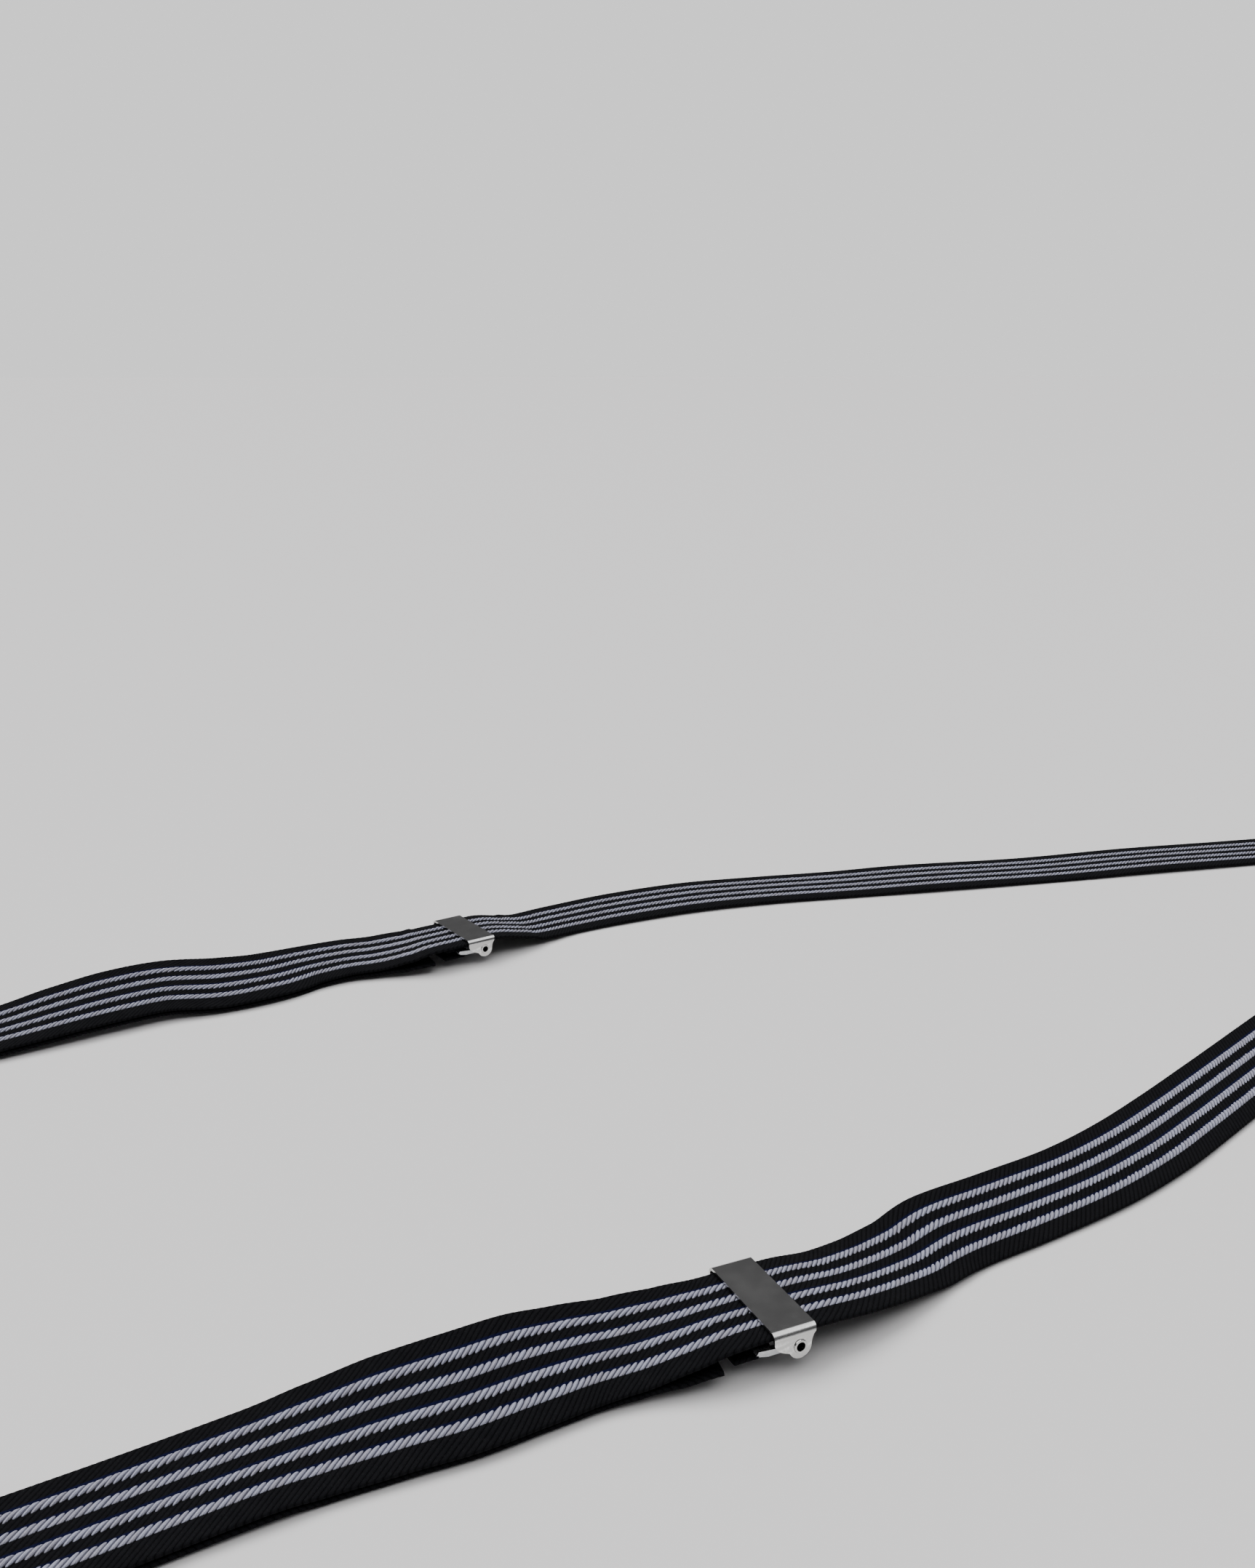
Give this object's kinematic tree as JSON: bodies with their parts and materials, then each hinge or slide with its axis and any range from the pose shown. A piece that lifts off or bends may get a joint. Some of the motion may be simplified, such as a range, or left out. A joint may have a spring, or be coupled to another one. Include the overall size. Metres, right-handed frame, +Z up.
{
  "type": "suspenders",
  "caption": "Clip-on Y-back suspenders: striped elastic straps with cam-lever adjusters, a back patch and pinch clips, laid out face up.",
  "frame": {"origin": "on the surface the suspenders lie on, under the middle of their box", "axes": "+X from the front clips towards the shoulders and the rear clip, +Y towards the wearer's right strap, +Z up out of the face of the straps"},
  "size_m": [0.9366, 0.2338, 0.01],
  "materials": {
    "webbing": "ribbed black elastic webbing with four pale silver-blue twisted stripes",
    "chrome": "polished nickel-chrome plated sheet",
    "steel": "plated pressed steel",
    "grip_plastic": "milky moulded plastic",
    "leatherette": "black grained leatherette"
  },
  "bodies": {
    "harness": {"left_front_strap": "webbing", "right_front_strap": "webbing", "rear_strap": "webbing", "back_patch_lining": "leatherette", "back_patch_face": "leatherette", "left_slide_plate": "chrome", "left_slide_rivet_outer": "chrome", "left_slide_rivet_inner": "chrome", "right_slide_plate": "chrome", "right_slide_rivet_outer": "chrome", "right_slide_rivet_inner": "chrome"},
    "left_lever": {"left_slide_lever": "steel", "left_strap_end": "webbing"},
    "right_lever": {"right_slide_lever": "steel", "right_strap_end": "webbing"},
    "left_clip": {"left_clip_base": "chrome", "left_clip_pin": "steel", "left_clip_lower_grip": "grip_plastic"},
    "left_cover": {"left_clip_cover": "chrome", "left_clip_upper_grip": "grip_plastic", "left_clip_spring": "steel"},
    "right_clip": {"right_clip_base": "chrome", "right_clip_pin": "steel", "right_clip_lower_grip": "grip_plastic"},
    "right_cover": {"right_clip_cover": "chrome", "right_clip_upper_grip": "grip_plastic", "right_clip_spring": "steel"},
    "rear_clip": {"rear_clip_base": "chrome", "rear_clip_pin": "steel", "rear_clip_lower_grip": "grip_plastic"},
    "rear_cover": {"rear_clip_cover": "chrome", "rear_clip_upper_grip": "grip_plastic", "rear_clip_spring": "steel"}
  },
  "joints": [
    {"name": "left_lever_open", "type": "hinge", "parent": "harness", "child": "left_lever", "pos_m": [-0.24625, -0.10304, 0.00429], "axis": [-0.0661, -0.9935, 0.0924], "range_deg": [0, 75]},
    {"name": "right_lever_open", "type": "hinge", "parent": "harness", "child": "right_lever", "pos_m": [-0.23049, 0.09855, 0.0039], "axis": [0.0877, -0.9937, 0.0698], "range_deg": [0, 75]},
    {"name": "left_clip_swing", "type": "hinge", "parent": "harness", "child": "left_clip", "pos_m": [-0.43302, -0.09359, 0.00207], "axis": [0, 1, 0], "range_deg": [0, 100]},
    {"name": "left_jaw_open", "type": "hinge", "parent": "left_clip", "child": "left_cover", "pos_m": [-0.4494, -0.09359, 0.00583], "axis": [0, 1, 0], "range_deg": [0, 28], "stiffness_Nm_per_rad": 0.03, "springref_deg": -57.3},
    {"name": "right_clip_swing", "type": "hinge", "parent": "harness", "child": "right_clip", "pos_m": [-0.43302, 0.09941, 0.00207], "axis": [0, 1, 0], "range_deg": [0, 100]},
    {"name": "right_jaw_open", "type": "hinge", "parent": "right_clip", "child": "right_cover", "pos_m": [-0.4494, 0.09941, 0.00583], "axis": [0, 1, 0], "range_deg": [0, 28], "stiffness_Nm_per_rad": 0.03, "springref_deg": -57.3},
    {"name": "rear_clip_swing", "type": "hinge", "parent": "harness", "child": "rear_clip", "pos_m": [0.43302, -0.00019, 0.00207], "axis": [0, -1, 0], "range_deg": [0, 100]},
    {"name": "rear_jaw_open", "type": "hinge", "parent": "rear_clip", "child": "rear_cover", "pos_m": [0.4494, -0.00019, 0.00583], "axis": [0, -1, 0], "range_deg": [0, 28], "stiffness_Nm_per_rad": 0.03, "springref_deg": -57.3}
  ]
}
